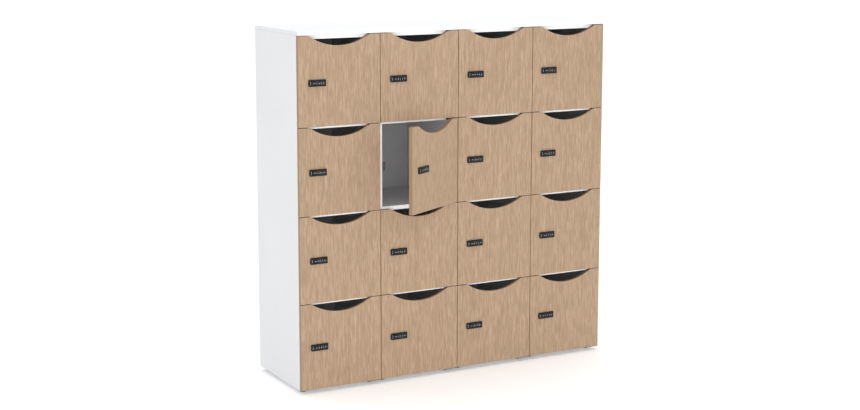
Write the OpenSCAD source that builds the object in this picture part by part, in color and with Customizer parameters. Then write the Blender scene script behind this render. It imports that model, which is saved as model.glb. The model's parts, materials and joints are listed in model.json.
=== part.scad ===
// Bank of wooden lockers: four modules side by side under one top board, four compartments
// in each. Every door has a wave cut from its top edge, which is both mail slot and finger
// pull, a four-dial combination lock, and pivot hinges along its right edge.
// Millimetres. +Z is up, -Y is the front, and the origin is on the floor, in the middle of
// the carcass's width and depth.

/* [Bank] */
// Number of columns, one module each
columns = 4; // [1:1:6]
// Number of compartments in a column
rows = 4; // [2:1:6]
// Width of a module
col_w = 400; // [320:1:500]
// Height from one shelf's middle to the next
row_h = 394; // [320:1:500]
// Height that the top compartment has beyond the others
head_h = 8; // [0:1:60]
// Gap between neighbouring modules
module_gap = 0.4; // [0.2:0.1:2]
// Depth of the carcass, from its front edges to the back panel's rear face
carcass_d = 450; // [300:1:600]

/* [Boards] */
// Thickness of sides, tops, bottoms and shelves
board_t = 18; // [12:0.5:25]
// Thickness of the back panels
back_t = 8; // [4:0.5:18]
// Thickness of the top board
top_t = 18; // [12:0.5:40]

/* [Doors] */
// Thickness of a door
door_t = 18; // [15:0.5:25]
// Gap between neighbouring doors
door_gap = 3; // [2.5:0.1:5]
// Space between the carcass's front edges and a closed door
standoff = 2; // [2:0.1:4]
// Depth of the wave below the door's top edge
wave_d = 45; // [35:1:60]
// Half of the wave's width
wave_half = 158; // [100:1:165]
// Radius of the wave's two shoulders
shoulder_r = 40; // [20:1:60]

/* [Open door] */
// Column and row of the door that stands open, counted from the left and from the top
open_column = 2; // [1:1:6]
open_row = 2; // [1:1:6]
// Angle at which it stands open
open_angle = 30; // [0:1:100]

/* [Hinges] */
// Distance of a hinge's axis from the door's right edge, and from its front face
hinge_inset = 6; // [5:0.1:7]
// Diameter of a hinge pin
pin_d = 4; // [3:0.1:5]
// Length of a pin beyond its plate
pin_len = 12; // [6:0.5:20]
// Thickness of the plate that lies in the gap between two doors
plate_t = 2; // [1.5:0.1:2.2]
// Length of the plate to the left of the pin
plate_len = 46; // [30:1:80]
// Thickness of the flange that is screwed to the shelf's front edge
flange_t = 1.5; // [1:0.1:1.7]
// Length of the flange
flange_len = 34; // [20:1:60]

/* [Lock] */
// Width of the housing
lock_w = 82; // [78:1:110]
// Height of the housing
lock_h = 29; // [26:0.5:40]
// How far the housing stands out of the door
lock_proud = 7; // [5:0.5:12]
// Radius of the housing's left corners
lock_corner_r = 4.5; // [1:0.5:8]
// Height of the lock's middle above the row line below the door
lock_z = 194; // [120:1:240]
// Distance of the lock's middle from the column's left edge
lock_x = 90; // [80:1:140]
// How far the rear case stands out behind the door
case_back = 2; // [0.5:0.5:4]
// Wall of the rear case above and below the dials
case_wall = 1.6; // [1:0.1:3]

/* [Dials] */
// Number of dials
dials = 4; // [3:1:4]
// Radius of a dial
dial_r = 9.5; // [8:0.1:10]
// Width of a dial
dial_w = 7.4; // [5:0.1:7.8]
// Distance from one dial to the next
dial_pitch = 9.8; // [9:0.1:12]
// How far a dial stands out of the housing
dial_proud = 1.3; // [0.8:0.1:2]
// Place of the last dial, from the housing's right end
dial_end = 14.2; // [10:0.1:20]
// Diameter of the shaft that the dials turn on
shaft_d = 4; // [3:0.1:5]

/* [Knob and cam] */
// Diameter of the knob
knob_d = 17; // [14:0.5:18]
// Thickness of the knob
knob_t = 4; // [3:0.5:8]
// Place of the knob, from the housing's left end
knob_end = 19.2; // [16:0.1:19.5]
// Diameter of the knob's spindle
spindle_d = 8; // [6:0.5:10]
// Reach of the cam from the spindle's axis
cam_len = 45; // [40:0.5:48]
// Width of the cam
cam_w = 15; // [12:0.5:20]
// Thickness of the cam
cam_t = 3; // [2:0.5:4]

/* [Keeper] */
// How far the keeper stands out of the wall
keeper_w = 16; // [10:0.5:20]
// Height of the keeper
keeper_h = 41; // [30:1:60]
// Thickness of the keeper
keeper_t = 2; // [1.5:0.1:3]
// Distance of its tongue behind the carcass's front edges
keeper_set_back = 2; // [1:0.5:10]
// Length of the keeper's leg along the wall
keeper_leg = 28; // [20:1:50]

/* [Feet and wall fixing] */
// Height of the carcass above the floor
foot_h = 18; // [12:1:40]
// Diameter of a foot's pad
foot_d = 24; // [16:1:40]
// Thickness of a foot's pad
foot_pad_t = 11; // [6:1:20]
// Diameter of a foot's stud
stud_d = 8; // [6:0.5:10]
// Distance of a foot from the module's side
foot_x = 34; // [25:1:80]
// Distance of a foot from the carcass's front or back
foot_y = 40; // [25:1:100]
// Diameter of the wall fixing holes in the back panels
anchor_d = 6; // [4:0.5:10]
// Distance of a wall fixing hole below the row line above it
anchor_drop = 60; // [30:1:120]

/* [Clearances] */
// Radial clearance of pins, shafts and spindles in their bores
turn_clear = 0.05; // [0.02:0.01:0.09]
// Clearance between a moving piece and what it passes
move_clear = 0.3; // [0.2:0.05:0.6]
// Clearance of the lock's case in the door's cut-out
case_clear = 0.3; // [0.1:0.05:0.6]
// Distance between the cam and the keeper that it turns behind
cam_clear = 1; // [0.5:0.1:3]
// Gap between pieces of one lock or latch that are screwed together
seam_gap = 0.05; // [0.02:0.01:0.2]
// Clearance of a foot's stud in the bottom panel
stud_clear = 0.1; // [0.05:0.05:0.5]

/* [Hidden] */
$fn = 96;
over = 1;                      // how far a cutter runs past the face that it cuts

bank_w = columns * col_w;
module_h = rows * row_h + head_h;
y_front = -(carcass_d + standoff + door_t) / 2;      // front faces of closed doors
y_door_back = y_front + door_t;
y_carcass = y_door_back + standoff;
y_back = y_carcass + carcass_d;
z_module_top = foot_h + module_h;
shelf_d = carcass_d - back_t;
inner_x = module_gap / 2 + board_t;                   // inner face of a left side, from the column's edge
inner_w = col_w - 2 * inner_x;

door_w = col_w - door_gap;
pin_x = door_gap / 2 + hinge_inset;                  // from the column's right edge
wave_r = (wave_half ^ 2 + wave_d ^ 2) / (2 * wave_d) - shoulder_r;
wave_angle = asin(wave_half / (wave_r + shoulder_r));

face_y = -lock_proud;                                // faces of the lock, from the door's front face
dial_y = face_y - dial_proud + dial_r;
dial_room = dial_r + move_clear;
case_h = 2 * (dial_room + case_wall);
case_y = door_t + case_back;
knob_x = knob_end - lock_w / 2;                      // from the lock's middle
last_dial_x = lock_w / 2 - dial_end;
dial_xs = [for (i = [0 : dials - 1]) last_dial_x - (dials - 1 - i) * dial_pitch];
case_side = 2.6;                                     // flange of the housing beyond its case
knob_skirt_t = 2;
grip_w = 6.5;
shaft_end = 1.4;                                     // shaft beyond the outer dials' rooms

keeper_y = y_carcass + keeper_set_back;              // front face of the keeper's tongue
cam_y = keeper_y + keeper_t + cam_clear - y_front;   // front face of the cam, from the door's face
neck_side = 0.68 * spindle_d;                        // square neck that carries the cam
cam_screw_d = 10;
cam_screw_t = 2;
cam_screw_pin_d = 3;
notch_r = 0.7;
notches = 10;
plate_margin = 1.5;                                  // hinge plate behind the door's front face and edge
nut_d = 0.8 * foot_d;                                // nut on a foot's stud, across its corners

letters = "abcdef";
function tag(c, r) = str(letters[c], rows - r);
function col_x(c) = -bank_w / 2 + c * col_w;
function row_z(r) = r < rows ? foot_h + r * row_h : z_module_top - door_gap / 2;
function is_open(c, r) = c == open_column - 1 && r == rows - open_row;
function rest_angle(c, r) = is_open(c, r) ? open_angle : 0;
function door_h(r) = row_z(r + 1) - row_z(r) - door_gap;

open_tag = tag(open_column - 1, rows - open_row);
cells = [for (c = [0 : columns - 1], r = [rows - 1 : -1 : 0]) [c, r]];

// ---- carcass ----

module top_board() {
    color("white")
    translate([-bank_w / 2, y_front, z_module_top])
        cube([bank_w, y_back - y_front, top_t]);
}

module side_panels() {
    color("white")
    for (c = [0 : columns - 1], x = [inner_x - board_t, col_w - inner_x])
        translate([col_x(c) + x, y_carcass, foot_h])
            cube([board_t, carcass_d, module_h]);
}

// The top and the bottom of each module. The bottom has a bore for each foot's stud.
module end_panels() {
    color("white")
    for (c = [0 : columns - 1])
        translate([col_x(c), y_carcass, 0]) {
            translate([inner_x, 0, z_module_top - board_t])
                cube([inner_w, shelf_d, board_t]);
            difference() {
                translate([inner_x, 0, foot_h])
                    cube([inner_w, shelf_d, board_t]);
                for (p = foot_places())
                    translate([p[0], p[1], foot_h - over])
                        cylinder(d = stud_d + 2 * stud_clear, h = board_t + 2 * over);
            }
        }
}

module shelves() {
    color("white")
    for (c = [0 : columns - 1], r = [1 : rows - 1])
        translate([col_x(c) + inner_x, y_carcass, row_z(r) - board_t / 2])
            cube([inner_w, shelf_d, board_t]);
}

// The first and the last module have two wall fixing holes each.
module back_panels() {
    color("whitesmoke")
    for (c = [0 : columns - 1])
        difference() {
            translate([col_x(c) + inner_x, y_back - back_t, foot_h])
                cube([inner_w, back_t, module_h]);
            if (c == 0 || c == columns - 1)
                for (r = [1, rows])
                    translate([col_x(c) + col_w / 2, y_back - back_t - over, anchor_z(r)])
                        rotate([-90, 0, 0])
                            cylinder(d = anchor_d, h = back_t + 2 * over);
        }
}

function anchor_z(r) = foot_h + r * row_h - anchor_drop;

// ---- feet ----

// Places of a module's four feet, from its left side and its front
function foot_places() = [for (x = [foot_x, col_w - foot_x], y = [foot_y, carcass_d - foot_y]) [x, y]];

module foot() {
    cylinder(d = foot_d, h = foot_pad_t);
    translate([0, 0, foot_pad_t])
        cylinder(d = nut_d, h = foot_h - foot_pad_t, $fn = 6);
    translate([0, 0, foot_h])
        cylinder(d = stud_d, h = board_t);
}

module levelling_feet() {
    color("black")
    for (c = [0 : columns - 1], p = foot_places())
        translate([col_x(c) + p[0], y_carcass + p[1], 0])
            foot();
}

// ---- doors ----

// The wave: a main arc between two shoulders that meet it and the top edge without a corner
module wave() {
    chord_z = -shoulder_r * (1 - cos(wave_angle));
    difference() {
        union() {
            intersection() {
                translate([0, wave_r - wave_d])
                    circle(wave_r, $fn = 360);
                translate([-wave_half, -2 * wave_d])
                    square([2 * wave_half, 2 * wave_d + over]);
            }
            translate([-wave_half, chord_z])
                square([2 * wave_half, over - chord_z]);
        }
        for (side = [-1, 1])
            translate([side * wave_half, -shoulder_r])
                circle(shoulder_r, $fn = 180);
    }
}

// Carries its children to a door: x from the column's left edge, y from the door's front
// face, z from the row line below the door, turned about the hinge's axis by the rest angle
module at_door(c, r) {
    translate([col_x(c) + col_w - pin_x, y_front + hinge_inset, row_z(r)])
        rotate([0, 0, rest_angle(c, r)])
            translate([pin_x - col_w, -hinge_inset, 0])
                children();
}

module door(c, r) {
    bore_r = pin_d / 2 + turn_clear;
    bore_h = pin_len - (door_gap - plate_t) / 2 + 2 * move_clear;
    cut_w = lock_w - 2 * case_side + 2 * case_clear;
    cut_h = case_h + 2 * case_clear;
    color("burlywood")
    at_door(c, r)
        difference() {
            translate([door_gap / 2, door_t, door_gap / 2])
                rotate([90, 0, 0])
                    linear_extrude(door_t)
                        difference() {
                            square([door_w, door_h(r)]);
                            translate([door_w / 2, door_h(r)])
                                wave();
                        }
            translate([lock_x - cut_w / 2, -over, lock_z - cut_h / 2])
                cube([cut_w, door_t + 2 * over, cut_h]);
            for (z = [door_gap / 2 - over, door_gap / 2 + door_h(r) - bore_h])
                translate([col_w - pin_x, hinge_inset, z])
                    cylinder(r = bore_r, h = bore_h + over);
        }
}

// ---- hinges ----

// A bracket's plate lies in the gap on row line r. Its flange lies on the front edge of the
// board there, and its pins reach into the doors above and below.
module hinge_bracket(r) {
    plate_front = hinge_inset - plate_margin;
    plate_back = y_carcass - y_front - hinge_inset;
    end_shift = (board_t - plate_t) / 2;
    flange_z = r == 0 ? end_shift : r == rows ? -end_shift : 0;
    pin_down = r > 0 ? pin_len : 0;
    pin_up = r < rows ? pin_len : 0;
    translate([-plate_len, -plate_front, -plate_t / 2])
        cube([plate_len + plate_front, plate_front + plate_back, plate_t]);
    translate([-plate_len, plate_back - flange_t, flange_z - board_t / 2])
        cube([flange_len, flange_t, board_t]);
    translate([0, 0, -plate_t / 2 - pin_down])
        cylinder(d = pin_d, h = pin_down + plate_t + pin_up);
}

module hinge_brackets() {
    color("silver")
    for (c = [0 : columns - 1], r = [0 : rows])
        translate([col_x(c) + col_w - pin_x, y_front + hinge_inset, row_z(r)])
            hinge_bracket(r);
}

// ---- locks ----

// Outline of the housing: the left corners are round, the right ones are square
module lock_outline() {
    left = -lock_w / 2;
    bottom = -lock_h / 2;
    translate([left + lock_corner_r, bottom])
        square([lock_w - lock_corner_r, lock_h]);
    translate([left, bottom + lock_corner_r])
        square([2 * lock_corner_r, lock_h - 2 * lock_corner_r]);
    for (side = [-1, 1])
        translate([left + lock_corner_r, side * (-bottom - lock_corner_r)])
            circle(lock_corner_r);
}

// Rooms for the dials, bore for their shaft and bore for the knob's spindle
module lock_hollows() {
    for (x = dial_xs)
        translate([x - dial_w / 2 - move_clear, dial_y, 0])
            rotate([0, 90, 0])
                cylinder(r = dial_room, h = dial_w + 2 * move_clear);
    dial_shaft(turn_clear);
    translate([knob_x, face_y - over, 0])
        rotate([-90, 0, 0])
            cylinder(d = spindle_d + 2 * turn_clear, h = lock_proud + case_y + 2 * over);
}

module dial_shaft(clear = 0) {
    x_start = dial_xs[0] - dial_w / 2 - move_clear - shaft_end;
    x_end = last_dial_x + dial_w / 2 + move_clear + shaft_end;
    translate([x_start - clear, dial_y, 0])
        rotate([0, 90, 0])
            cylinder(d = shaft_d + 2 * clear, h = x_end - x_start + 2 * clear);
}

// Front housing: all of the case that lies in front of the dial shaft's axis
module lock_front() {
    difference() {
        union() {
            rotate([90, 0, 0])
                linear_extrude(lock_proud)
                    lock_outline();
            case_block(0, dial_y);
        }
        lock_hollows();
    }
}

// Rear case: the rest, behind the dial shaft's axis
module lock_rear() {
    difference() {
        case_block(dial_y + seam_gap, case_y);
        lock_hollows();
    }
}

module case_block(y_start, y_end) {
    case_w = lock_w - 2 * case_side;
    translate([-case_w / 2, y_start, -case_h / 2])
        cube([case_w, y_end - y_start, case_h]);
}

// A dial about the X axis. A grip notch lies between every two of its ten numbers, and one
// number faces the front.
module dial() {
    rotate([0, 90, 0])
        linear_extrude(dial_w, center = true)
            difference() {
                circle(dial_r);
                circle(shaft_d / 2 + turn_clear);
                for (i = [0 : notches - 1])
                    rotate((i + 0.5) * 360 / notches - 90)
                        translate([dial_r, 0])
                            circle(notch_r, $fn = 24);
            }
}

module lock(c, r) {
    at_door(c, r)
        translate([lock_x, 0, lock_z]) {
            color("dimgray") lock_front();
            color("black") lock_rear();
            color("silver") dial_shaft();
            if (!is_open(c, r))
                color("lightgray")
                for (x = dial_xs)
                    translate([x, dial_y, 0])
                        dial();
        }
}

module open_door_dial(i) {
    color("lightgray")
    at_door(open_column - 1, rows - open_row)
        translate([lock_x + dial_xs[i - 1], dial_y, lock_z])
            dial();
}

// ---- latches ----

// Knob and spindle in one piece, the cam on the spindle's neck, and the screw that holds it
module latch(c, r) {
    at_door(c, r)
        translate([lock_x + knob_x, 0, lock_z])
            rotate([90, 0, 0]) {
                color("black") knob();
                color("silver") cam();
                color("gray") cam_screw();
            }
}

// These three lie along Z, with the door's front face at zero and its inside below
module knob() {
    knob_z = -face_y + move_clear;
    shoulder_z = seam_gap - cam_y;
    translate([0, 0, knob_z]) {
        cylinder(d = knob_d, h = knob_skirt_t);
        linear_extrude(knob_t)
            intersection() {
                circle(d = knob_d);
                square([knob_d, grip_w], center = true);
            }
    }
    translate([0, 0, shoulder_z])
        cylinder(d = spindle_d, h = knob_z - shoulder_z);
    difference() {
        translate([-neck_side / 2, -neck_side / 2, -cam_y - cam_t])
            cube([neck_side, neck_side, cam_t + seam_gap]);
        translate([0, 0, -cam_y - cam_t - over])
            cylinder(d = cam_screw_pin_d + 2 * turn_clear, h = cam_t + over);
    }
}

module cam() {
    translate([0, 0, -cam_y - cam_t])
        linear_extrude(cam_t)
            difference() {
                union() {
                    circle(d = cam_w);
                    translate([-cam_w / 2, -cam_len])
                        square([cam_w, cam_len]);
                }
                square(neck_side + 2 * turn_clear, center = true);
            }
}

module cam_screw() {
    head_z = -cam_y - cam_t - seam_gap;
    translate([0, 0, head_z - cam_screw_t])
        cylinder(d = cam_screw_d, h = cam_screw_t);
    translate([0, 0, head_z])
        cylinder(d = cam_screw_pin_d, h = cam_t - seam_gap);
}

// ---- keepers ----

// An angle on the left wall. The cam turns behind its tongue.
module keepers() {
    color("slategray")
    for (cell = cells)
        translate([col_x(cell[0]) + inner_x, keeper_y, row_z(cell[1]) + lock_z - keeper_h / 2]) {
            cube([keeper_w, keeper_t, keeper_h]);
            cube([keeper_t, keeper_leg, keeper_h]);
        }
}

top_board();
side_panels();
end_panels();
shelves();
back_panels();
levelling_feet();
hinge_brackets();
keepers();
for (cell = cells) {
    name = tag(cell[0], cell[1]);
    door(cell[0], cell[1]);
    lock(cell[0], cell[1]);
    latch(cell[0], cell[1]);
}
for (i = [1 : dials])
    open_door_dial(i);
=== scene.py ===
"""Looks of the locker bank: white boards, oak doors, combination locks and their small parts.

Everything is in metres in the CAD's frame: +Z up, -Y out of the doors. Pieces that repeat on
every door are made once, for the reference door, and copied to the others.
"""

import json
import math

import bmesh
import bpy
from mathutils import Matrix, Vector


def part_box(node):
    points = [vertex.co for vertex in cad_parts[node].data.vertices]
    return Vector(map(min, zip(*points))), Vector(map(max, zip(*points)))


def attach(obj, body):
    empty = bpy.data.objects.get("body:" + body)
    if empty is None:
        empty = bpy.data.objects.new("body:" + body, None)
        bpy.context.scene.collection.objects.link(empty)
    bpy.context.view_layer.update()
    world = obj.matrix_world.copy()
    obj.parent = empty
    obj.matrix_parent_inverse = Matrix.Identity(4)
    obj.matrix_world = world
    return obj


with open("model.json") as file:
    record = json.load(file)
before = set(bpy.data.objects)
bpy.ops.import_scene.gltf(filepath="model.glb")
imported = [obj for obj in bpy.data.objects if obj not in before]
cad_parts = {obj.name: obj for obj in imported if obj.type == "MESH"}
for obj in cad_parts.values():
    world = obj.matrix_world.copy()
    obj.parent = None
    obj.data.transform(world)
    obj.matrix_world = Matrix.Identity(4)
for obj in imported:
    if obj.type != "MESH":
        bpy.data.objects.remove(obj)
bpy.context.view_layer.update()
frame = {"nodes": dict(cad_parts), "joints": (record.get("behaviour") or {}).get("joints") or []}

MM = 0.001
TAGS = [column + row for column in "abcd" for row in "1234"]
REF = "a1"
OPEN = "b2"
JOINTS = {joint["name"]: joint for joint in frame["joints"]}

# ---------------------------------------------------------------- places from the frame


def joint_point(name):
    return Vector(JOINTS[name]["pos_m"])


def rest_turn(tag):
    """How far a door stands open at rest, in radians. Its joint's range starts where it is closed."""
    return math.radians(-JOINTS[f"door_{tag}_hinge"]["range_deg"][0])


def from_ref(tag):
    """Carries a point on the closed reference door to the same point on another door at rest."""
    pivot = joint_point(f"door_{tag}_hinge")
    along = pivot.x - joint_point(f"door_{REF}_hinge").x
    up = joint_point(f"latch_{tag}_turn").z - joint_point(f"latch_{REF}_turn").z
    swing = Matrix.Translation(pivot) @ Matrix.Rotation(rest_turn(tag), 4, "Z") @ Matrix.Translation(-pivot)
    return swing @ Matrix.Translation((along, 0, up))


LOCK_LOW, LOCK_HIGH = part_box(f"lock_{REF}")
LOCK_MIDDLE = (LOCK_LOW + LOCK_HIGH) / 2
KNOB_AXIS = joint_point(f"latch_{REF}_turn")
DIAL_AXES = [from_ref(OPEN).inverted() @ joint_point(f"dial_{OPEN}_{i}_turn") for i in (1, 2, 3, 4)]
DIAL_LOW, DIAL_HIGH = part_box(f"dial_{OPEN}_1")
DIAL_R = (DIAL_HIGH.z - DIAL_LOW.z) / 2
DIALS_MIDDLE_X = sum(p.x for p in DIAL_AXES) / 4
HOUSING_PROUD = 7 * MM      # how far the lock's housing stands out of the door
HOUSING_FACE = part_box(f"door_{REF}")[0].y - HOUSING_PROUD

# ---------------------------------------------------------------- materials


class Graph:
    """A material's node tree, with short calls for the nodes that the materials below share."""

    def __init__(self, name):
        self.material = bpy.data.materials.new(name)
        self.material.use_nodes = True
        self.tree = self.material.node_tree
        self.shader = self.tree.nodes["Principled BSDF"]

    def node(self, kind, **inputs):
        made = self.tree.nodes.new(kind)
        for key, value in inputs.items():
            self.feed(made.inputs[key.replace("_", " ")], value)
        return made

    def feed(self, socket, value):
        if isinstance(value, bpy.types.NodeSocket):
            self.tree.links.new(value, socket)
        else:
            socket.default_value = value

    def math(self, operation, a, b=0.0):
        made = self.tree.nodes.new("ShaderNodeMath")
        made.operation = operation
        self.feed(made.inputs[0], a)
        self.feed(made.inputs[1], b)
        return made.outputs[0]

    def place(self, turn=0.0, scale=(1, 1, 1), shift=(0, 0, 0)):
        """Object coordinates, moved, turned about Z and scaled."""
        where = self.node("ShaderNodeTexCoord").outputs["Object"]
        turned = self.node("ShaderNodeMapping", Vector=where, Location=shift, Rotation=(0, 0, turn))
        return self.node("ShaderNodeMapping", Vector=turned.outputs[0], Scale=scale).outputs[0]

    def noise(self, place, scale, detail=2.0, roughness=0.5, distortion=0.0):
        made = self.node("ShaderNodeTexNoise", Vector=place, Scale=scale, Detail=detail,
                         Roughness=roughness, Distortion=distortion)
        return made.outputs["Fac"]

    def spread(self, value, low, high, to_low=0.0, to_high=1.0):
        """Maps low..high to to_low..to_high, held at both ends."""
        made = self.tree.nodes.new("ShaderNodeMapRange")
        made.clamp = True
        for socket, number in zip(made.inputs, (value, low, high, to_low, to_high)):
            self.feed(socket, number)
        return made.outputs[0]

    def mix(self, share, a, b):
        made = self.tree.nodes.new("ShaderNodeMix")
        made.data_type = "RGBA"
        self.feed(made.inputs[0], share)
        for socket, colour in ((made.inputs[6], a), (made.inputs[7], b)):
            self.feed(socket, (*colour, 1) if isinstance(colour, tuple) else colour)
        return made.outputs[2]

    def facing(self, turn=0.0):
        """The surface's normal, turned about Z, as three sockets."""
        normal = self.node("ShaderNodeTexCoord").outputs["Normal"]
        turned = self.node("ShaderNodeMapping", Vector=normal, Rotation=(0, 0, turn))
        return self.node("ShaderNodeSeparateXYZ", Vector=turned.outputs[0]).outputs

    def finish(self, colour, roughness, bump=None, bump_depth=0.0, **shader):
        self.feed(self.shader.inputs["Base Color"], colour)
        self.feed(self.shader.inputs["Roughness"], roughness)
        for key, value in shader.items():
            self.shader.inputs[key.replace("_", " ")].default_value = value
        if bump is not None:
            made = self.node("ShaderNodeBump", Height=bump, Distance=bump_depth)
            self.feed(self.shader.inputs["Normal"], made.outputs[0])
        return self.material


# Colours are linear.
# One white melamine in lit and shaded copies: the outer faces and sides take a white painted darker as
# painted shade, and the top board's top takes a white painted lighter as painted light.
SHADED_WHITE = (0.68, 0.69, 0.707)
EDGE_LIT_WHITE = (0.95, 0.952, 0.95)         # the front edges, painted brighter as painted light against the shade in their recesses
TOP_LIT_WHITE = (0.87, 0.878, 0.888)
# Painted shade: the faces inside the lockers are the same white melamine, painted darker for the shade
# inside.
INSIDE_SHADE_GREY = (0.64, 0.645, 0.655)
# A painted shadow line along the foot of the top board's ends, where the board's edge shades the joint.
JOINT_SHADE_GREY = (0.5, 0.505, 0.515)
JOINT_H = 1.5 * MM
SKIN = 1.5 * MM     # a face this near the outside of the bank counts as outside


def white_board():
    """White melamine board: a fine pearl texture, faint marks, painted shade that darkens its faces inside
    the lockers, and front edges painted lighter.
    """
    g = Graph("white_board")
    place = g.place()
    normal = g.facing()
    position = g.node("ShaderNodeSeparateXYZ", Vector=place).outputs
    low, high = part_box("side_panels")
    outer_side = g.math("GREATER_THAN", g.math("ABSOLUTE", position[0]), high.x - SKIN)
    under = g.math("LESS_THAN", position[2], low.z + SKIN)
    over = g.math("GREATER_THAN", position[2], high.z - SKIN)
    behind = g.math("GREATER_THAN", position[1], high.y - SKIN)
    edge = g.math("GREATER_THAN", g.math("MULTIPLY", normal[1], -1.0), 0.6)
    back_face = g.math("GREATER_THAN", position[1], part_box("back_panels")[0].y - SKIN)
    front_edge = g.math("MULTIPLY", edge, g.math("SUBTRACT", 1.0, back_face))
    outside = g.math("MAXIMUM", g.math("MAXIMUM", outer_side, under), g.math("MAXIMUM", over, behind))
    white_here = g.math("MAXIMUM", outside, front_edge)
    cloud = g.noise(place, 3.0, 3.0)
    speck = g.noise(place, 900.0, 2.0)
    white = g.mix(g.spread(cloud, 0.3, 0.7), SHADED_WHITE, tuple(c * 0.975 for c in SHADED_WHITE))
    # Front edges painted brighter: painted light against the shade in their recesses.
    white = g.mix(front_edge, white, EDGE_LIT_WHITE)
    # Painted shade on the faces inside the lockers.
    inside_shade = g.mix(g.spread(cloud, 0.3, 0.7), INSIDE_SHADE_GREY, tuple(c * 0.93 for c in INSIDE_SHADE_GREY))
    colour = g.mix(white_here, inside_shade, white)
    scuff = g.noise(g.place(scale=(1, 1, 14)), 22.0, 6.0, 0.7)
    rough = g.math("ADD", g.spread(cloud, 0.3, 0.7, 0.42, 0.5), g.spread(scuff, 0.62, 0.8, 0.0, 0.12))
    return g.finish(colour, rough, speck, 0.00003, Specular_IOR_Level=0.4)


def top_board_white():
    """The top board is the same melamine, its top painted lighter for the light from above. Its ends take
    the darker white of the sides below, which is painted shade, with a painted shadow line at the joint
    between.
    """
    g = Graph("top_board_white")
    place = g.place()
    cloud = g.noise(place, 2.2, 3.0)
    speck = g.noise(place, 900.0, 2.0)
    scuff = g.noise(g.place(scale=(6, 1, 1)), 18.0, 6.0, 0.7)
    end = g.spread(g.math("ABSOLUTE", g.facing()[0]), 0.6, 0.9)
    height = g.node("ShaderNodeSeparateXYZ", Vector=place).outputs[2]
    # Painted shadow line along the foot of the top board's ends.
    joint = g.math("MULTIPLY", end, g.math("LESS_THAN", height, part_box("top_board")[0].z + JOINT_H))
    colour = g.mix(g.spread(cloud, 0.3, 0.7), TOP_LIT_WHITE, tuple(c * 0.98 for c in TOP_LIT_WHITE))
    # The ends take the sides' darker white: painted shade.
    colour = g.mix(end, colour, SHADED_WHITE)
    colour = g.mix(joint, colour, JOINT_SHADE_GREY)
    rough = g.math("ADD", g.spread(cloud, 0.3, 0.7, 0.4, 0.48), g.spread(scuff, 0.6, 0.8, 0.0, 0.12))
    return g.finish(colour, rough, speck, 0.00003, Specular_IOR_Level=0.4)


OAK = (0.405, 0.278, 0.177)
OAK_DARK = (0.27, 0.176, 0.107)
OAK_LIGHT = (0.55, 0.39, 0.257)
# The doors' edge band, darker than the faces: partly the band's own tone, partly painted shade for the
# narrow gaps between doors.
OAK_EDGE_AND_SHADE = (0.305, 0.2, 0.127)
# Painted shade: edges that face up sit in the shaded gaps under the doors above, so they are painted darker.
OAK_TOP_EDGE_SHADE = (0.225, 0.14, 0.085)
OAK_STEP = (0.37, 0.11, 0.53)       # from one door's place in the board to the next one's


def oak(tag, number):
    """Light oak with its grain upright. Each door is cut from another place in the board."""
    g = Graph(f"oak_{tag}")
    turn = -rest_turn(tag)
    shift = tuple(step * number for step in OAK_STEP)
    broad = g.noise(g.place(turn, (1, 1, 0.03), shift), 28.0, 3.0, 0.6, 0.4)
    grain = g.noise(g.place(turn, (1, 1, 0.012), shift), 260.0, 3.0, 0.65, 0.1)
    streak = g.noise(g.place(turn, (1, 1, 0.07), shift), 300.0, 0.0)
    dashes = g.noise(g.place(turn, (1, 1, 0.045), shift), 950.0, 2.0, 0.6)
    fibre = g.noise(g.place(turn, (1, 1, 0.015), shift), 2600.0, 2.0, 0.6)
    tone = g.mix(g.spread(broad, 0.25, 0.75, 0.0, 0.25), OAK, OAK_DARK)
    tone = g.mix(g.spread(grain, 0.5, 0.7, 0.0, 0.6), tone, OAK_LIGHT)
    tone = g.mix(g.spread(grain, 0.5, 0.3, 0.0, 0.4), tone, OAK_DARK)
    tone = g.mix(g.spread(streak, 0.5, 0.7, 0.0, 0.5), tone, OAK_LIGHT)
    tone = g.mix(g.spread(streak, 0.5, 0.3, 0.0, 0.4), tone, OAK_DARK)
    tone = g.mix(g.spread(dashes, 0.53, 0.63, 0.0, 0.62), tone, OAK_DARK)
    tone = g.mix(g.spread(fibre, 0.4, 0.65, 0.0, 0.3), tone, OAK_LIGHT)
    normal = g.facing(turn)
    flat = g.spread(g.math("ABSOLUTE", normal[1]), 0.80, 0.97)
    # Door edges: their tone is partly painted shade for the gaps, and edges that face up are painted darker
    # still.
    banding_and_shade = g.mix(g.spread(normal[2], 0.5, 0.95), OAK_EDGE_AND_SHADE, OAK_TOP_EDGE_SHADE)
    banding_and_shade = g.mix(g.spread(fibre, 0.4, 0.65, 0.0, 0.25), banding_and_shade, OAK_DARK)
    colour = g.mix(flat, banding_and_shade, tone)
    worn = g.noise(g.place(turn, shift=shift), 7.0, 5.0, 0.65)
    rough = g.math("ADD", g.spread(fibre, 0.35, 0.65, 0.52, 0.62),
                   g.spread(worn, 0.55, 0.75, 0.0, -0.08))
    height = g.math("SUBTRACT", g.math("MULTIPLY", fibre, 0.5), g.spread(dashes, 0.53, 0.63))
    return g.finish(colour, rough, height, 0.00006, Specular_IOR_Level=0.35)


def moulded(name, colour, rough, grain=2600.0, depth=0.00002, specular=0.5):
    """Moulded plastic with a spark-eroded texture, and a shine where hands have rubbed it."""
    g = Graph(name)
    place = g.place()
    cloud = g.noise(place, 90.0, 3.0)
    speck = g.noise(place, grain, 2.0)
    tone = g.mix(g.spread(cloud, 0.3, 0.7), colour, tuple(c * 1.25 for c in colour))
    gloss = g.spread(cloud, 0.35, 0.75, rough, rough - 0.12)
    return g.finish(tone, gloss, speck, depth, Specular_IOR_Level=specular)


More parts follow.
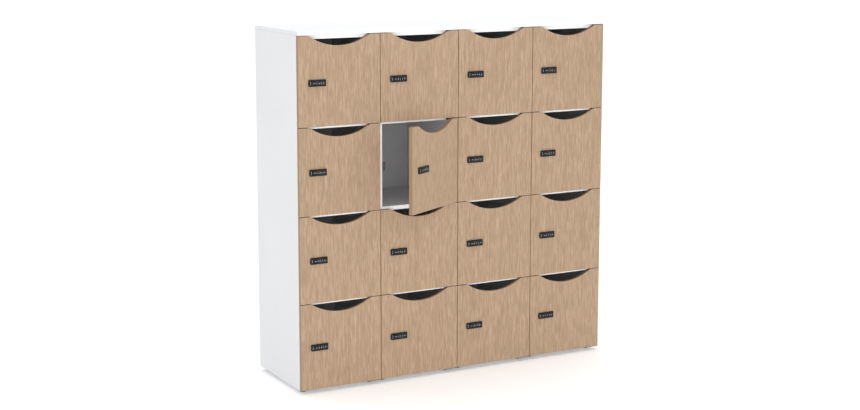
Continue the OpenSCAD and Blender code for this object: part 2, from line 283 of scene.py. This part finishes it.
def steel(name, colour, rough):
    """Passivated steel, brushed and faintly cloudy."""
    g = Graph(name)
    brushed = g.noise(g.place(scale=(1, 1, 0.04)), 3000.0, 2.0)
    cloud = g.noise(g.place(), 120.0, 4.0)
    tone = g.mix(g.spread(cloud, 0.3, 0.7), colour, tuple(c * 0.8 for c in colour))
    gloss = g.math("ADD", g.spread(brushed, 0.3, 0.7, rough - 0.05, rough + 0.05),
                   g.spread(cloud, 0.5, 0.8, 0.0, 0.08))
    return g.finish(tone, gloss, brushed, 0.00001, Metallic=1.0)


def paint(name, colour, rough=0.5):
    """Ink or inlay on the locks, a little uneven."""
    g = Graph(name)
    cloud = g.noise(g.place(), 700.0, 3.0)
    tone = g.mix(g.spread(cloud, 0.35, 0.7), colour, tuple(c * 0.86 for c in colour))
    return g.finish(tone, g.spread(cloud, 0.3, 0.7, rough - 0.06, rough + 0.06), cloud, 0.00001)


MATERIALS = {
    "board": white_board(),
    "top": top_board_white(),
    "housing": moulded("lock_plastic", (0.006, 0.007, 0.008), 0.5, specular=0.2),
    "knob": moulded("knob_plastic", (0.012, 0.015, 0.018), 0.45, specular=0.3),
    "dial": moulded("dial_plastic", (0.008, 0.009, 0.011), 0.42, specular=0.22),
    "bezel": moulded("bezel_plastic", (0.017, 0.02, 0.024), 0.4, specular=0.25),
    "foot": moulded("foot_plastic", (0.016, 0.016, 0.017), 0.6, 1800.0, 0.00003),
    "screw": steel("screw_steel", (0.2, 0.2, 0.205), 0.36),
    "steel": steel("dark_steel", (0.13, 0.128, 0.126), 0.45),
    "keeper": steel("keeper_steel", (0.25, 0.248, 0.246), 0.5),
    "mark": paint("mark_paint", (0.42, 0.44, 0.46)),
    "number": paint("number_paint", (0.78, 0.79, 0.8)),
}

# ---------------------------------------------------------------- CAD nodes


def round_edges(obj, width):
    """Rounds edges. The first two modifiers join the imported mesh's split corners and flat triangles."""
    weld = obj.modifiers.new("weld", "WELD")
    weld.merge_threshold = 0.005 * MM
    flats = obj.modifiers.new("flats", "DECIMATE")
    flats.decimate_type = "DISSOLVE"
    flats.angle_limit = math.radians(0.5)
    bevel = obj.modifiers.new("bevel", "BEVEL")
    bevel.width = width
    bevel.segments = 2
    bevel.limit_method = "ANGLE"
    bevel.angle_limit = math.radians(40)
    bevel.harden_normals = True


def finish_node(node, material, width):
    """Gives a CAD node its material and rounds its edges."""
    obj = frame["nodes"][node]
    for slot in obj.material_slots:
        slot.material = material
    if not obj.material_slots:
        obj.data.materials.append(material)
    round_edges(obj, width)


def finish_nodes():
    for node in ("side_panels", "end_panels", "shelves", "back_panels"):
        finish_node(node, MATERIALS["board"], 0.5 * MM)
    finish_node("top_board", MATERIALS["top"], 0.8 * MM)
    finish_node("levelling_feet", MATERIALS["foot"], 0.6 * MM)
    finish_node("hinge_brackets", MATERIALS["steel"], 0.15 * MM)
    finish_node("keepers", MATERIALS["keeper"], 0.4 * MM)
    for number, tag in enumerate(TAGS):
        finish_node(f"door_{tag}", oak(tag, number), 0.3 * MM)
        finish_node(f"lock_{tag}", MATERIALS["housing"], 0.35 * MM)
        finish_node(f"latch_{tag}", MATERIALS["knob"], 0.3 * MM)
    for i in (1, 2, 3, 4):
        finish_node(f"dial_{OPEN}_{i}", MATERIALS["dial"], 0.15 * MM)


# ---------------------------------------------------------------- pieces


def new_piece(name, mesh, material, body):
    """A mesh in the frame's coordinates becomes a piece that rides on a body."""
    mesh.materials.clear()
    mesh.materials.append(material)
    obj = bpy.data.objects.new(name, mesh)
    bpy.context.scene.collection.objects.link(obj)
    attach(obj, body)


def on_each_door(name, mesh, material, tags=TAGS, rider="door"):
    """Copies a mesh made on the closed reference door to every door. rider is door or latch."""
    for tag in tags:
        copy = mesh.copy()
        copy.transform(from_ref(tag))
        new_piece(f"{name}_{tag}", copy, material, f"{rider}_{tag}")


def to_mesh(bm, name, smooth_below=40):
    bmesh.ops.recalc_face_normals(bm, faces=bm.faces)
    mesh = bpy.data.meshes.new(name)
    bm.to_mesh(mesh)
    bm.free()
    mesh.polygons.foreach_set("use_smooth", [True] * len(mesh.polygons))
    mesh.set_sharp_from_angle(angle=math.radians(smooth_below))
    return mesh


def add_copies(target, mesh, matrices):
    """Adds a mesh to a bmesh once for each matrix."""
    for matrix in matrices:
        copy = mesh.copy()
        copy.transform(matrix)
        target.from_mesh(copy)
        bpy.data.meshes.remove(copy)


def rounded_rectangle(width, height, radius, steps=6):
    """The outline's points in the XZ plane, about the origin."""
    points = []
    for corner in range(4):
        centre_x = (width / 2 - radius) * (1 if corner in (0, 3) else -1)
        centre_z = (height / 2 - radius) * (1 if corner in (0, 1) else -1)
        for step in range(steps + 1):
            angle = math.radians(90 * corner + 90 * step / steps)
            points.append((centre_x + radius * math.cos(angle), centre_z + radius * math.sin(angle)))
    return points


def bridge(bm, lower, upper):
    for i in range(len(lower)):
        j = (i + 1) % len(lower)
        bm.faces.new((lower[i], lower[j], upper[j], upper[i]))


def loops_to_mesh(name, loops, closed=True, caps=False):
    """Joins loops of points in order. closed joins the last to the first."""
    bm = bmesh.new()
    rings = [[bm.verts.new(p) for p in loop] for loop in loops]
    pairs = list(zip(rings, rings[1:])) + ([(rings[-1], rings[0])] if closed else [])
    for lower, upper in pairs:
        bridge(bm, lower, upper)
    if caps:
        bm.faces.new(rings[0])
        bm.faces.new(rings[-1])
    return to_mesh(bm, name)


# The frame round the dials' windows

BEZEL_W, BEZEL_H = 47.4 * MM, 19 * MM
WINDOW_W, WINDOW_H = 39 * MM, 12.6 * MM
BEZEL_T, BEZEL_CHAMFER = 0.9 * MM, 0.6 * MM


def bezel():
    """A chamfered rim with one window for the four dials."""
    middle = Vector((DIALS_MIDDLE_X, HOUSING_FACE, KNOB_AXIS.z))

    def loop(width, height, radius, rise):
        return [middle + Vector((x, -rise, z)) for x, z in rounded_rectangle(width, height, radius)]

    inset = 2 * BEZEL_CHAMFER
    loops = [loop(BEZEL_W, BEZEL_H, 2 * MM, -0.1 * MM), loop(BEZEL_W, BEZEL_H, 2 * MM, 0.3 * BEZEL_T),
             loop(BEZEL_W - inset, BEZEL_H - inset, 1.5 * MM, BEZEL_T),
             loop(WINDOW_W + inset, WINDOW_H + inset, 1.4 * MM, BEZEL_T),
             loop(WINDOW_W, WINDOW_H, 1 * MM, 0.2 * BEZEL_T), loop(WINDOW_W, WINDOW_H, 1 * MM, -0.1 * MM)]
    on_each_door("bezel", loops_to_mesh("bezel", loops), MATERIALS["bezel"])


# Numbers on the dials

NUMBER_SIZE = 6.6 * MM
NUMBER_RISE = 0.12 * MM
NUMBER_STEP = math.radians(36)


def number_mesh(value):
    """A number, flat in XY, cut into bands so that it can be bent round a dial."""
    curve = bpy.data.curves.new("number", "FONT")
    curve.body = str(value)
    curve.size = NUMBER_SIZE
    curve.align_x = "CENTER"
    curve.align_y = "CENTER"
    curve.resolution_u = 3
    curve.extrude = NUMBER_RISE
    obj = bpy.data.objects.new("number", curve)
    bpy.context.scene.collection.objects.link(obj)
    bpy.context.view_layer.update()
    bm = bmesh.new()
    bm.from_mesh(obj.to_mesh())
    bpy.data.objects.remove(obj)
    bmesh.ops.remove_doubles(bm, verts=bm.verts, dist=0.001 * MM)
    middle = (max(v.co.y for v in bm.verts) + min(v.co.y for v in bm.verts)) / 2
    for v in bm.verts:
        v.co.y -= middle
    for band in range(-3, 4):
        parts = bm.verts[:] + bm.edges[:] + bm.faces[:]
        bmesh.ops.bisect_plane(bm, geom=parts, plane_co=(0, band * NUMBER_SIZE / 9, 0), plane_no=(0, 1, 0))
    return to_mesh(bm, f"number_{value}")


def wrap_number(bm, mesh, centre, turn):
    """Bends a number round a dial whose axis is along X, turn radians up from the front."""
    start = len(bm.verts)
    bm.from_mesh(mesh)
    bm.verts.ensure_lookup_table()
    for v in bm.verts[start:]:
        angle = turn + v.co.y / DIAL_R
        radius = DIAL_R + v.co.z + NUMBER_RISE / 2
        x = v.co.x
        v.co = centre + Vector((x, -radius * math.cos(angle), radius * math.sin(angle)))


def dial_numbers():
    """Every dial stands at 0 and reads upwards. A fixed lock has the three numbers near its window."""
    meshes = [number_mesh(value) for value in range(10)]
    bm = bmesh.new()
    for centre in DIAL_AXES:
        for step in (-1, 0, 1):
            wrap_number(bm, meshes[step % 10], centre, step * NUMBER_STEP)
    closed = [tag for tag in TAGS if tag != OPEN]
    on_each_door("numbers", to_mesh(bm, "numbers"), MATERIALS["number"], closed)
    for i, centre in enumerate(DIAL_AXES, 1):
        bm = bmesh.new()
        for value in range(10):
            wrap_number(bm, meshes[value], centre, value * NUMBER_STEP)
        mesh = to_mesh(bm, "numbers")
        mesh.transform(from_ref(OPEN))
        new_piece(f"numbers_{OPEN}_{i}", mesh, MATERIALS["number"], f"dial_{OPEN}_{i}")


# Marks on the housing and the knob

CHEVRON_W, CHEVRON_H, CHEVRON_T = 4.4 * MM, 15 * MM, 1.5 * MM
CHEVRON_X = -36.8 * MM      # the arrow's left end, from the lock's middle
CHEVRON_RISE = 0.25 * MM
POINTER_W, POINTER_H, POINTER_RISE = 1.6 * MM, 2.2 * MM, 0.15 * MM
POINTER_OFF = 0.9 * MM      # from the window to a pointer's tip
KNOB_LINE_W, KNOB_LINE_H, KNOB_LINE_RISE = 7 * MM, 1.1 * MM, 0.15 * MM
KNOB_LINE_X = 3.2 * MM      # the line's middle, from the knob's axis


def plate_from_outline(name, outline, middle, rise):
    """A thin plate with that outline in XZ, standing rise out of the plane through middle."""
    low = [middle + Vector((x, 0.1 * MM, z)) for x, z in outline]
    high = [middle + Vector((x, -rise, z)) for x, z in outline]
    return loops_to_mesh(name, [low, high], closed=False, caps=True)


def housing_marks():
    """The arrow that points at the knob, and the two pointers that give the dials' reading line."""
    half = CHEVRON_H / 2
    slope = CHEVRON_T * math.hypot(CHEVRON_W, half) / half
    arrow = [(0, half), (slope, half), (CHEVRON_W + slope, 0), (slope, -half), (0, -half), (CHEVRON_W, 0)]
    at = Vector((LOCK_MIDDLE.x + CHEVRON_X, HOUSING_FACE, KNOB_AXIS.z))
    mesh = plate_from_outline("arrow", arrow, at, CHEVRON_RISE)
    on_each_door("arrow", mesh, MATERIALS["mark"])
    bm = bmesh.new()
    for side in (-1, 1):
        tip_x = DIALS_MIDDLE_X + side * (WINDOW_W / 2 + POINTER_OFF)
        tip = Vector((tip_x, HOUSING_FACE - BEZEL_T + 0.05 * MM, KNOB_AXIS.z))
        outline = [(0, 0), (side * POINTER_W, POINTER_H / 2), (side * POINTER_W, -POINTER_H / 2)]
        bm.from_mesh(plate_from_outline("pointer", outline, tip, POINTER_RISE))
    on_each_door("pointers", to_mesh(bm, "pointers"), MATERIALS["number"])


def knob_marks():
    """A light line along the knob's grip, which shows which way the cam lies."""
    outline = rounded_rectangle(KNOB_LINE_W, KNOB_LINE_H, 0.5 * MM, 4)
    at = Vector((KNOB_AXIS.x + KNOB_LINE_X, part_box(f"latch_{REF}")[0].y, KNOB_AXIS.z))
    mesh = plate_from_outline("knob_line", outline, at, KNOB_LINE_RISE)
    on_each_door("knob_line", mesh, MATERIALS["number"], rider="latch")


# Screws

def screw_mesh(name, head_r, rise, dome):
    """A cross-head screw's head. Its axis is along +Z and its seat is at zero."""
    bm = bmesh.new()
    steps, rings = 20, 4
    profile = [(head_r, 0.0), (head_r, rise * (1 - dome))]
    for i in range(1, rings):
        angle = math.radians(90 * i / rings)
        profile.append((head_r * math.cos(angle), rise * (1 - dome + dome * math.sin(angle))))
    loops = [[bm.verts.new((r * math.cos(2 * math.pi * k / steps), r * math.sin(2 * math.pi * k / steps), z))
              for k in range(steps)] for r, z in profile]
    for lower, upper in zip(loops, loops[1:]):
        bridge(bm, lower, upper)
    slot_r, slot_w, depth = head_r * 0.55, head_r * 0.13, rise * 0.55
    cross = [(slot_w, slot_w), (slot_w, slot_r), (-slot_w, slot_r), (-slot_w, slot_w), (-slot_r, slot_w),
             (-slot_r, -slot_w), (-slot_w, -slot_w), (-slot_w, -slot_r), (slot_w, -slot_r),
             (slot_w, -slot_w), (slot_r, -slot_w), (slot_r, slot_w)]
    top = [bm.verts.new((x, y, rise)) for x, y in cross]
    floor = [bm.verts.new((x * 0.8, y * 0.8, rise - depth)) for x, y in cross]
    bridge(bm, top, floor)
    bm.faces.new(floor)
    bm.faces.new(loops[0])
    rim = [e for e in bm.edges if all(v in loops[-1] for v in e.verts)]
    slot_edges = [e for e in bm.edges if all(v in top for v in e.verts)]
    bmesh.ops.triangle_fill(bm, edges=rim + slot_edges, use_beauty=True)
    return to_mesh(bm, name, 35)


def along(direction, point, spin=0.0):
    """Puts a screw's head at point, with its axis along direction."""
    turn = Vector((0, 0, 1)).rotation_difference(Vector(direction)).to_matrix().to_4x4()
    return Matrix.Translation(point) @ turn @ Matrix.Rotation(spin, 4, "Z")


KEEPER_T, KEEPER_SCREW_SPAN = 2 * MM, 22 * MM
KEEPER_SCREW_Y = 4 * MM                         # behind the keeper's middle
FLANGE_LEFT, FLANGE_RIGHT = 46 * MM, 12 * MM    # the flange's ends, from the pin's axis
FLANGE_SCREW = 8 * MM                           # a screw's axis, from the flange's end
FLANGE_T = 1.5 * MM
END_BRACKET_OFF = 8 * MM                        # the end brackets' screws, off the gap's middle
HALF_DOOR_GAP = 1.5 * MM


def keeper_screws(pan):
    """Two pan-head screws through each keeper's leg."""
    low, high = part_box("keepers")
    first_x, y = low.x + KEEPER_T, (low.y + high.y) / 2 + KEEPER_SCREW_Y
    places = []
    for tag in TAGS:
        z = joint_point(f"latch_{tag}_turn").z
        x = first_x + joint_point(f"door_{tag}_hinge").x - joint_point(f"door_{REF}_hinge").x
        for side in (-1, 1):
            at = Vector((x, y, z + side * KEEPER_SCREW_SPAN / 2))
            places.append(along((1, 0, 0), at, 0.5 * side + z * 7))
    bm = bmesh.new()
    add_copies(bm, pan, places)
    new_piece("keeper_screws", to_mesh(bm, "keeper_screws", 35), MATERIALS["screw"], "carcass")


def bracket_screws(flat):
    """Two countersunk screws through each bracket's flange."""
    flange_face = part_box("hinge_brackets")[1].y - FLANGE_T
    gaps = [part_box(f"door_a{row}")[0].z - HALF_DOOR_GAP for row in "4321"]
    gaps.append(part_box("door_a1")[1].z + HALF_DOOR_GAP)
    shift = {0: END_BRACKET_OFF, 4: -END_BRACKET_OFF}
    places = []
    for column in "abcd":
        x = joint_point(f"door_{column}1_hinge").x
        for number, z in enumerate(gaps):
            for off in (FLANGE_LEFT - FLANGE_SCREW, FLANGE_RIGHT + FLANGE_SCREW):
                at = Vector((x - off, flange_face, z + shift.get(number, 0)))
                places.append(along((0, -1, 0), at, x * 9 + z * 5 + off * 90))
    bm = bmesh.new()
    add_copies(bm, flat, places)
    new_piece("bracket_screws", to_mesh(bm, "bracket_screws", 35), MATERIALS["screw"], "carcass")


# The case screws' X and Z, from the lock's middle
CASE_SCREWS = [(-6 * MM, 7.5 * MM), (33 * MM, 7.5 * MM), (33 * MM, -7.5 * MM)]


def case_screws(pan):
    """Three screws hold each lock's rear case to its front, clear of the cam's turn."""
    rear = LOCK_HIGH.y
    places = [along((0, 1, 0), Vector((LOCK_MIDDLE.x + x, rear, KNOB_AXIS.z + z)), x * 80)
              for x, z in CASE_SCREWS]
    bm = bmesh.new()
    add_copies(bm, pan, places)
    on_each_door("case_screws", to_mesh(bm, "case_screws", 35), MATERIALS["screw"])


# ---------------------------------------------------------------- stage, lights and camera

CAMERA_AT = (-3.5916, -6.4304, 2.1148)
CAMERA_HEADING = math.radians(28.49)     # to the right of +Y
CAMERA_TILT = math.radians(8.90)         # below the horizon
CAMERA_LENS = 66.02
CAMERA_SHIFT = (0.0184, -0.05)
LIT_POINT = (0, 0, 0.8)
WORLD_STRENGTH = 1.04
FLOOR_HALF = 60.0
FLOOR_GLOW = 0.15      # a studio floor lit from below, so that the dark feet stand out


def floor():
    """A plain pale floor."""
    bm = bmesh.new()
    bmesh.ops.create_grid(bm, x_segments=1, y_segments=1, size=FLOOR_HALF)
    mesh = to_mesh(bm, "floor")
    g = Graph("floor_pale")
    cloud = g.noise(g.place(), 0.8, 2.0)
    colour = g.mix(g.spread(cloud, 0.3, 0.7), (0.97, 0.97, 0.97), (0.96, 0.96, 0.96))
    g.feed(g.shader.inputs["Emission Color"], (1, 1, 1, 1))
    mesh.materials.append(g.finish(colour, 0.9, Specular_IOR_Level=0.1, Emission_Strength=FLOOR_GLOW))
    obj = bpy.data.objects.new("floor", mesh)
    bpy.context.scene.collection.objects.link(obj)


def area_light(name, place, size, power):
    light = bpy.data.lights.new(name, "AREA")
    light.shape = "SQUARE"
    light.size = size
    light.energy = power
    obj = bpy.data.objects.new(name, light)
    obj.location = place
    obj.rotation_euler = (Vector(LIT_POINT) - Vector(place)).to_track_quat("-Z", "Y").to_euler()
    bpy.context.scene.collection.objects.link(obj)


def lights():
    world = bpy.data.worlds.new("studio")
    world.use_nodes = True
    background = world.node_tree.nodes["Background"]
    background.inputs["Color"].default_value = (1, 1, 1, 1)
    background.inputs["Strength"].default_value = WORLD_STRENGTH
    bpy.context.scene.world = world
    area_light("key", (-3.0, -6.5, 1.5), 2.5, 80)
    area_light("top", (0.3, 0.4, 5.2), 3.0, 15)


def camera():
    data = bpy.data.cameras.new("camera")
    data.lens = CAMERA_LENS
    data.sensor_width = 36
    data.shift_x, data.shift_y = CAMERA_SHIFT
    obj = bpy.data.objects.new("camera", data)
    obj.location = CAMERA_AT
    obj.rotation_euler = (math.pi / 2 - CAMERA_TILT, 0, -CAMERA_HEADING)
    bpy.context.scene.collection.objects.link(obj)
    bpy.context.scene.camera = obj


# ---------------------------------------------------------------- the model

finish_nodes()
bezel()
dial_numbers()
housing_marks()
knob_marks()
pan_screw = screw_mesh("pan_screw", 3.2 * MM, 1.5 * MM, 0.7)
flat_screw = screw_mesh("flat_screw", 3.0 * MM, 0.2 * MM, 0.5)
keeper_screws(pan_screw)
bracket_screws(flat_screw)
case_screws(pan_screw)
floor()
lights()
camera()
bpy.context.scene.view_settings.view_transform = "Standard"
